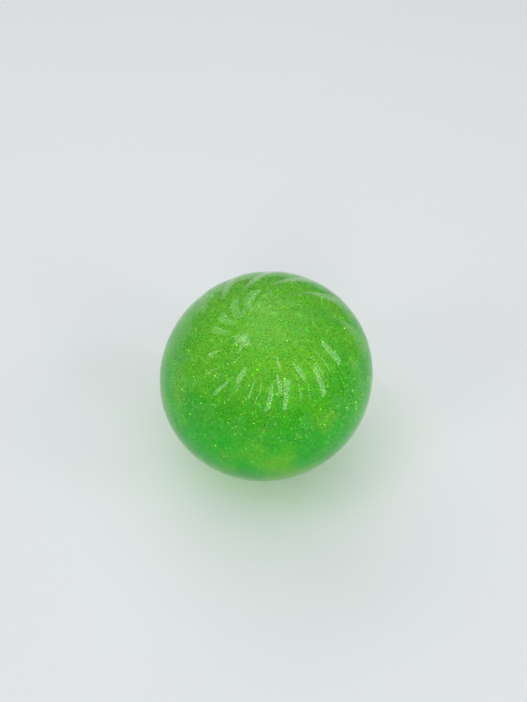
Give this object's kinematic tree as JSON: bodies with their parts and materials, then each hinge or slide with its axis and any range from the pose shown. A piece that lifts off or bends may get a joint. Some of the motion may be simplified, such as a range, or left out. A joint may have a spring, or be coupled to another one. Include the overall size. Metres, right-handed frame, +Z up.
{
  "type": "glitter squeeze ball",
  "caption": "Soft translucent green squeeze ball with a swirl of moulded pleats round its crown, filled with glitter gel.",
  "frame": {"origin": "middle of the flat patch that the ball rests on", "axes": "+Z up from the resting surface, -Y towards the side that the crown leans to"},
  "size_m": [0.0604, 0.0602, 0.0565],
  "materials": {
    "skin": "gloss",
    "plug": "satin",
    "gel": "gloss",
    "foil_green": "polished",
    "foil_gold": "polished",
    "foil_teal": "polished",
    "foil_silver": "polished"
  },
  "bodies": {
    "casing": {"skin": "skin", "fill_plug": "plug"},
    "fill": {"gel_fill": "gel", "glitter_green_01": "foil_green", "glitter_green_02": "foil_green", "glitter_green_03": "foil_green", "glitter_green_04": "foil_green", "glitter_green_05": "foil_green", "glitter_green_06": "foil_green", "glitter_green_07": "foil_green", "glitter_green_08": "foil_green", "glitter_gold_01": "foil_gold", "glitter_gold_02": "foil_gold", "glitter_gold_03": "foil_gold", "glitter_gold_04": "foil_gold", "glitter_gold_05": "foil_gold", "glitter_gold_06": "foil_gold", "glitter_gold_07": "foil_gold", "glitter_gold_08": "foil_gold", "glitter_teal_01": "foil_teal", "glitter_teal_02": "foil_teal", "glitter_teal_03": "foil_teal", "glitter_teal_04": "foil_teal", "glitter_teal_05": "foil_teal", "glitter_teal_06": "foil_teal", "glitter_teal_07": "foil_teal", "glitter_teal_08": "foil_teal", "glitter_silver_01": "foil_silver", "glitter_silver_02": "foil_silver", "glitter_silver_03": "foil_silver", "glitter_silver_04": "foil_silver", "glitter_silver_05": "foil_silver", "glitter_silver_06": "foil_silver", "glitter_silver_07": "foil_silver", "glitter_silver_08": "foil_silver"}
  },
  "joints": [
    {"name": "fill_swirl", "type": "hinge", "parent": "casing", "child": "fill", "pos_m": [0, 0, 0.0274], "axis": [0, 0, 1], "continuous": true}
  ]
}
